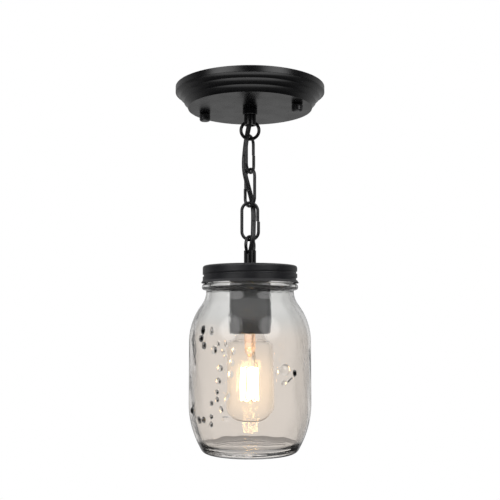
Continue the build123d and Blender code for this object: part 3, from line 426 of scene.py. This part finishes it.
# Jar: one piece of soda glass, pressed in a two-part mould. Its rim has a single screw ridge and
# a bead below the band; raised drops stand on the front and leaf sprays on the back. Sizes here
# are in millimetres.
jar_low, jar_high = (0.001 * np.round(1000 * np.array(c), 2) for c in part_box("glass_jar"))
rim_height = 1000 * jar_high[2]
foot_height = 1000 * jar_low[2]
bead_top = rim_height - 12.2
bead_end = bead_top - 4.5
neck_end = bead_end - 0.8
rim_reach, bead_reach, neck_reach, body_reach = 34.9, 38.0, 34.6, 47.85
wall_depth = 3.0
shoulder_round, heel_round = 47.5, 70.0
shoulder_lean = math.radians(37.0)
outer_heel_lean, inner_heel_lean = math.radians(27.5), math.radians(20.0)
neck_round = (body_reach - neck_reach) / (1 - math.cos(shoulder_lean)) - shoulder_round
shoulder_end = neck_end - (neck_round + shoulder_round) * math.sin(shoulder_lean)
body_end = shoulder_end - 47.0
floor_inside = foot_height + 5.5
foot_width, foot_round, floor_round = 5.5, 5.0, 8.0
punt_rise = 2.5


def eased_line(points, radii, steps=7):
    """Line through the points, each corner turned on its radius: the curve between the two
    touching points is a rational quadratic Bezier weighted by the cosine of half the turn."""
    points, radii = np.array(points, float), np.array(radii, float)
    into = np.diff(points, axis=0)
    into /= np.linalg.norm(into, axis=1)[:, None]
    half_turn = np.arccos(np.clip((into[:-1] * into[1:]).sum(1), -1, 1)) / 2
    reach = (radii * np.tan(half_turn))[:, None, None]
    t = np.linspace(0, 1, steps)[:, None]
    corner = points[1:-1, None]
    start, end = corner - reach * into[:-1, None], corner + reach * into[1:, None]
    weight = 2 * t * (1 - t) * np.cos(half_turn)[:, None, None]
    bent = (start * (1 - t) ** 2 + corner * weight + end * t**2) / ((1 - t) ** 2 + weight + t**2)
    return np.vstack([points[:1], bent.reshape(-1, 2), points[-1:]])


def jar_wall(depth, heel_lean, low):
    """The jar's side from below upwards, depth inside its outer face: a straight foot, the heel,
    body and shoulder as arcs r = reach - R (1 - cos a), and the neck bend turned the other way."""
    a = np.linspace(heel_lean, 0, 30)
    heel_arc = [body_reach - depth - (heel_round - depth) * (1 - np.cos(a))]
    heel_arc += [body_end - (heel_round - depth) * np.sin(a)]
    foot = [heel_arc[0][0] - (heel_arc[1][0] - low) * math.tan(heel_lean), low]
    a = np.linspace(0, shoulder_lean, 40)
    shoulder = [body_reach - depth - (shoulder_round - depth) * (1 - np.cos(a))]
    shoulder += [shoulder_end + (shoulder_round - depth) * np.sin(a)]
    a = a[::-1]
    neck = [neck_reach - depth + (neck_round + depth) * (1 - np.cos(a))]
    neck += [neck_end - (neck_round + depth) * np.sin(a)]
    return foot, np.hstack([heel_arc, shoulder, neck]).T


# The wall's section runs from the middle of the foot up the outside, over the rim, and down the
# inside to the middle of the floor. The bead's line lists its corners, then their radii.
outer_foot, outer_side = jar_wall(0.0, outer_heel_lean, foot_height)
inner_foot, inner_side = jar_wall(wall_depth, inner_heel_lean, floor_inside)
ring_foot = outer_foot[0] - foot_width
punt = np.linspace(0, 1, 12)[:, None] ** 0.7
under = np.hstack([ring_foot * punt, foot_height + punt_rise * (1 - punt**2)])[:-1]
foot_line = eased_line([(ring_foot, foot_height), outer_foot, outer_side[0]], [foot_round])
bead_line = eased_line(
    [
        (neck_reach, neck_end),
        (neck_reach, bead_end),
        (bead_reach, bead_end),
        (bead_reach, bead_top),
        (rim_reach, bead_top),
        (rim_reach, rim_height),
        (neck_reach - wall_depth, rim_height),
        (neck_reach - wall_depth, neck_end),
    ],
    [1.2, 1.7, 1.7, 0.8, 1.2, 1.2],
)
inside = eased_line([inner_side[0], inner_foot, (0.0, floor_inside)], [floor_round], 14)
wall = np.vstack([under, foot_line, outer_side[1:-1], bead_line, inner_side[-2:0:-1], inside])
step = np.linalg.norm(np.diff(wall, axis=0), axis=1)
wall = wall[np.r_[True, step > 1e-6]]
step = np.r_[0, np.linalg.norm(np.diff(wall, axis=0), axis=1)]
along_wall = np.cumsum(step)
outer_points = len(under) + len(foot_line) + len(outer_side)
outside = along_wall < step[:outer_points].sum()

# Rows lie closest on the ornament, then on the rim and the bead, then round the foot.
ornament_spacing, rim_spacing, foot_spacing = 0.65, 0.85, 1.6
outer_spacing, inner_spacing = 2.0, 3.0
ornament_low, ornament_high = -268.0, -189.0
decorated = outside & (wall[:, 1] > ornament_low) & (wall[:, 1] < ornament_high)
spacing = np.where(outside, outer_spacing, inner_spacing)
spacing = np.where(decorated, ornament_spacing, spacing)
spacing = np.where((wall[:, 1] > neck_end) & (wall[:, 0] > 32.0), rim_spacing, spacing)
spacing = np.where(wall[:, 1] < foot_height + 8.0, foot_spacing, spacing)
pace = np.cumsum(step / spacing)
rows = np.linspace(0, pace[-1], int(pace[-1]))
is_outer = np.interp(rows, pace, along_wall) < along_wall[outside].max()
wall = np.stack([np.interp(rows, pace, wall[:, 0]), np.interp(rows, pace, wall[:, 1])], 1)

# Columns per millimetre of the body's girth: more on the decorated front than elsewhere.
front_columns, other_columns, front_half = 2.1, 0.72, 1.1
front = view_turn - math.pi / 2
sweep = np.linspace(-math.pi, math.pi, 4001)
density = np.where(abs(sweep) < front_half, front_columns, other_columns)
count = np.cumsum(density) * body_reach * 2 * math.pi / 4000
bearing = front + np.interp(np.arange(0.0, count[-1] - 0.5), count, sweep)
from_front = (bearing - front + math.pi / 2) % (2 * math.pi) - math.pi / 2
on_back = from_front > math.pi / 2
across_jar = body_reach * np.where(on_back, from_front - math.pi, from_front)


def spray(place, height, bow, leaves):
    """Leaves on both sides of a bowed stalk: across = bow sin(pi t), up = height (1/2 - t)."""
    lean, off_stalk, half_length, half_width, stands = 50.0, 2.6, 2.4, 1.3, 0.5
    t = (np.arange(leaves) + 0.5) / leaves
    side = np.where(np.arange(leaves) % 2, 1.0, -1.0)
    stalk = np.stack([bow * np.sin(math.pi * t), height * (0.5 - t)], 1)
    turn = 90 - side * lean - np.degrees(bow * math.pi * np.cos(math.pi * t) / height)
    rows = [place[0] + stalk[:, 0] + off_stalk * side, place[1] + stalk[:, 1]]
    return np.stack(rows + [0 * t + half_length, 0 * t + half_width, turn, 0 * t + stands], 1)


# Each bump of the ornament: place across and up, half length, half width, turn in degrees, and
# how far it stands out before relief() enlarges it.
front_bumps = np.array(
    [
        (-40.5, -194.1, 3.2, 2.1, 100, 1.5),
        (-31.2, -194.6, 3.3, 1.7, 103, 1.4),
        (-41.6, -200.4, 2.5, 2.3, 80, 1.5),
        (-38.2, -205.6, 2.7, 2.3, 82, 1.5),
        (-24.2, -204.2, 1.9, 1.1, 115, 1.2),
        (-17.9, -203.6, 2.2, 0.9, 95, 1.2),
        (-27.7, -208.8, 2.9, 2.3, 90, 1.6),
        (-20.0, -209.4, 1.3, 1.2, 60, 1.0),
        (-12.2, -209.4, 2.3, 1.4, 70, 1.0),
        (-18.4, -213.2, 1.1, 1.0, 0, 1.0),
        (-22.4, -222.0, 2.5, 2.1, 85, 1.6),
        (-13.5, -217.7, 2.2, 1.7, 90, 0.7),
        (-23.8, -231.2, 2.4, 2.0, 90, 1.6),
        (-14.3, -226.1, 2.1, 1.7, 90, 0.7),
        (-25.3, -239.4, 1.9, 1.6, 60, 1.4),
        (-25.0, -244.6, 2.0, 1.4, 95, 1.4),
        (-17.0, -242.5, 2.8, 1.1, 52, 1.1),
        (-30.3, -247.7, 1.9, 1.6, 75, 1.4),
        (-21.3, -251.5, 2.5, 1.4, 112, 1.4),
        (-30.6, -257.5, 1.7, 1.5, 80, 1.4),
        (-39.0, -260.3, 2.0, 1.8, 70, 1.4),
        (-45.4, -261.1, 2.6, 3.0, 90, 0.8),
        (-31.4, -263.4, 2.4, 1.5, 62, 1.2),
        (-56.0, -255.1, 2.1, 2.6, 90, 0.8),
        (-17.9, -258.1, 1.8, 4.0, 90, 0.5),
        (26.9, -223.2, 4.0, 4.2, 90, 1.5),
        (36.8, -226.0, 2.3, 1.6, 95, 1.3),
        (25.9, -233.0, 2.0, 2.1, 60, 1.1),
        (19.8, -225.1, 2.3, 1.3, 80, 0.8),
        (32.0, -231.0, 3.2, 1.1, 30, 1.0),
    ]
)
back_bumps = np.vstack(
    [
        spray((-30.0, -222.0), 40.0, 3.0, 11),
        spray((26.0, -232.0), 48.0, -4.0, 12),
        spray((4.0, -252.0), 20.0, 2.0, 6),
    ]
)


def relief(bumps):
    """Height of the ornament: each bump is a dome, rise (1 - far) ** fullness, where far is its
    elliptic distance squared, and the highest dome counts."""
    spread, rise, fullness = 1.2, 1.6, 0.8
    height = np.zeros((len(wall), len(bearing)))
    for across_bump, up_bump, length, width, turn, stands in bumps:
        c, s = math.cos(math.radians(turn)), math.sin(math.radians(turn))
        dx, dz = across_jar[None] - across_bump, wall[:, 1:] - up_bump
        far = ((dx * c + dz * s) / length) ** 2 + ((dz * c - dx * s) / width) ** 2
        far /= spread
        height = np.maximum(height, rise * stands * np.clip(1 - far, 0, 1) ** fullness)
    return height


raised = np.where(on_back, relief(back_bumps), relief(front_bumps))
raised *= (is_outer & (wall[:, 1] < ornament_high + 4.0))[:, None]

# The rim's screw ridge: a round bead of glass on a helix that climbs one pitch a turn. It starts
# where the band's groove lets it.
ridge_start = math.radians(-162.4)
ridge_pitch, ridge_turns, ridge_radius, ridge_fade = 5.08, 1.15, 1.5, 0.25
ridge_low = rim_height - 9.0
full_turn = 2 * math.pi
wound = ((bearing - ridge_start) % full_turn)[None] + np.array([0, full_turn])[:, None]
off_ridge = wall[:, 1][:, None, None] - (ridge_low + ridge_pitch * wound / full_turn)
ridge = np.sqrt(np.clip(ridge_radius**2 - off_ridge**2, 0, None))
ridge *= np.clip(wound / ridge_fade, 0, 1)
ridge *= np.clip((ridge_turns * full_turn - wound) / ridge_fade, 0, 1)
on_rim = (wall[:, 0] > rim_reach - 0.9) & (wall[:, 0] < rim_reach + 0.6)
on_rim &= wall[:, 1] > bead_top + 0.5
raised += on_rim[:, None] * ridge.max(1)

# Faint waves inside the wall, as pressed glass has: a few tenths of a millimetre of cosines
# round the jar that die out towards the neck and the floor.
ripple = 0.10 * np.cos(7 * bearing + 0.4) + 0.07 * np.cos(11 * bearing + 2.0)
ripple = ripple + 0.05 * np.cos(19 * bearing + wall[:, 1][:, None] / 9.0)
below_neck = np.clip((neck_end - wall[:, 1]) / 12, 0, 1)
above_floor = np.clip((wall[:, 1] - floor_inside) / 12, 0, 1)
raised += (~is_outer * below_neck * above_floor)[:, None] * ripple

# The raised height is laid on across the wall's own heading, and the section is turned round.
heading = np.gradient(wall, axis=0)
heading /= np.linalg.norm(heading, axis=1)[:, None]
reach = wall[:, :1] + raised * heading[:, 1:]
height = wall[:, 1:] - raised * heading[:, :1]
jar_grid = np.stack([reach * np.cos(bearing), reach * np.sin(bearing), height], -1)
jar = skin("glass_jar_wall", 0.001 * jar_grid)

# The glass is faintly smoky. Below the holder its colour is painted warmer, a painted glow of
# the lit bulb, and it is painted darker where it is seen edge on, a painted shade for its dark
# edges. Its skin has slow waves and patches of fine pebbling.
jar_glass, coat, place = blank_finish("jar_glass", Transmission_Weight=1.0, IOR=1.5, Roughness=0.0)
# Painted shade: the glass's colour goes grey where it is seen edge on.
painted_edge_shade = place.node("LayerWeight", {}, {"Blend": 0.5}, "Facing")
# Painted glow: below the holder, where the lit bulb is, the glass's colour is painted warmer.
painted_glow_height = place.node("SeparateXYZ", {}, {0: place}, "Z").eased(-0.205, -0.180, 1.0, 0.0)
through = painted_glow_height.between((0.82, 0.82, 0.81), (0.85, 0.81, 0.77))
painted_edge_shade.eased(0.45, 1.0).between(through, (0.5, 0.49, 0.48)).feeds(coat["Base Color"])
waves = place.grain(45.0, 2.0, (1.0, 1.0, 0.3)).raised(0.25, 0.0006)
pebbled = place.grain(28.0, 1.0).eased(0.5, 0.62) * place.grain(420.0, 2.0)
pebbled.raised(0.35, 0.0004, waves).feeds(coat["Normal"])
jar.data.materials.append(jar_glass)
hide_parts("glass_jar")
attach(jar, "jar")

# Lamp holder: a cap and a body pressed in glossy black phenolic, screwed onto the lower tube. The
# block that holds the contacts inside is of the same plastic.
phenolic, coat, place = blank_finish("black_phenolic", Specular_IOR_Level=0.5)
place.grain(260.0, 4.0).between((0.006, 0.006, 0.007), (0.012, 0.011, 0.011)).feeds(coat["Base Color"])
place.patchy(120.0, 0.10, 0.2).feeds(coat["Roughness"])
dress(phenolic, "holder_cap", "holder_body", "contact_block")

# Contacts: the screw shell, the centre spring and the terminals of the holder, and the bulb's cap,
# all drawn or rolled from thin brass, with marks round the thread.
brass, coat, place = blank_finish("rolled_brass", Metallic=1.0)
place.grain(180.0, 4.0).between((0.60, 0.42, 0.17), (0.74, 0.55, 0.25)).feeds(coat["Base Color"])
place.patchy(300.0, 0.22, 0.38, 3.0, (1.0, 1.0, 5.0)).feeds(coat["Roughness"])
dress(brass, "screw_shell", "centre_contact", "terminal_screws", "bulb_cap")

# Bulb's end: a drop of tin solder as the foot contact, in a ring of black glass.
solder, coat, place = blank_finish("solder", Metallic=1.0)
place.grain(500.0, 4.0).between((0.52, 0.52, 0.52), (0.66, 0.66, 0.65)).feeds(coat["Base Color"])
place.patchy(600.0, 0.3, 0.5).feeds(coat["Roughness"])
dress(solder, "foot_contact")

cap_glass, coat, place = blank_finish("black_cap_glass")
place.grain(300.0).between((0.006, 0.006, 0.008), (0.016, 0.014, 0.018)).feeds(coat["Base Color"])
place.patchy(500.0, 0.08, 0.18).feeds(coat["Roughness"])
dress(cap_glass, "cap_insulator")

# Bulb: a blown clear tube, cemented in its cap. A painted glow stands in for the haze round the
# filament: emission laid on the tube, strongest at the filament's height and where the glass faces the
# eye.
bulb_glass, coat, place = blank_finish(
    "bulb_glass", Transmission_Weight=1.0, IOR=1.2, Roughness=0.0, Emission_Strength=0.11
)
place.grain(30.0).between((0.98, 0.97, 0.96), (0.99, 0.985, 0.98)).feeds(coat["Base Color"])
filament_depth = 0.238
off_filament = place.node("SeparateXYZ", {}, {0: place}, "Z") + filament_depth
# Painted glow: warm emission on the bulb's glass, fading away from the filament and towards the edges.
glow = off_filament.eased(-0.045, 0.0) * off_filament.eased(0.0, 0.04, 1.0, 0.0)
facing_us = 1 - place.node("LayerWeight", {}, {"Blend": 0.5}, "Facing")
glow = glow * facing_us**0.7
glow.between((0.02, 0.012, 0.006), (1.0, 0.66, 0.28)).feeds(coat["Emission Color"])
dress(bulb_glass, "bulb_glass")

# Stem: a pinched glass tube that carries the wires, with a painted orange glow from the filament
# below it laid on as emission.
stem_glass, coat, place = blank_finish(
    "stem_glass", Transmission_Weight=1.0, IOR=1.5, Roughness=0.02, Emission_Strength=0.35
)
place.grain(60.0).between((0.95, 0.92, 0.90), (0.98, 0.96, 0.95)).feeds(coat["Base Color"])
# Painted glow: orange emission on the stem, brighter nearer the filament.
painted_stem_glow = place.node("SeparateXYZ", {}, {0: place}, "Z").eased(-0.225, -0.19, 1.0, 0.25)
painted_stem_glow.between((0.0, 0.0, 0.0), (1.0, 0.55, 0.28)).feeds(coat["Emission Color"])
dress(stem_glass, "glass_stem")

# Filament and its wires: nickel wires and hooks that hold many strands of carbon, lit yellow.
nickel, coat, place = blank_finish("nickel_wire", Metallic=1.0)
place.grain(900.0).between((0.50, 0.48, 0.45), (0.62, 0.60, 0.57)).feeds(coat["Base Color"])
place.patchy(900.0, 0.25, 0.4).feeds(coat["Roughness"])
dress(nickel, "lead_in_wires", "filament_hooks")

lit_wire, coat, place = blank_finish("lit_wire", Emission_Strength=60.0)
place.grain(300.0).between((1.0, 0.62, 0.24), (1.0, 0.7, 0.32)).feeds(coat["Emission Color"])
place.grain(300.0).between((0.9, 0.6, 0.3), (1.0, 0.7, 0.4)).feeds(coat["Base Color"])
dress(lit_wire, "filament")
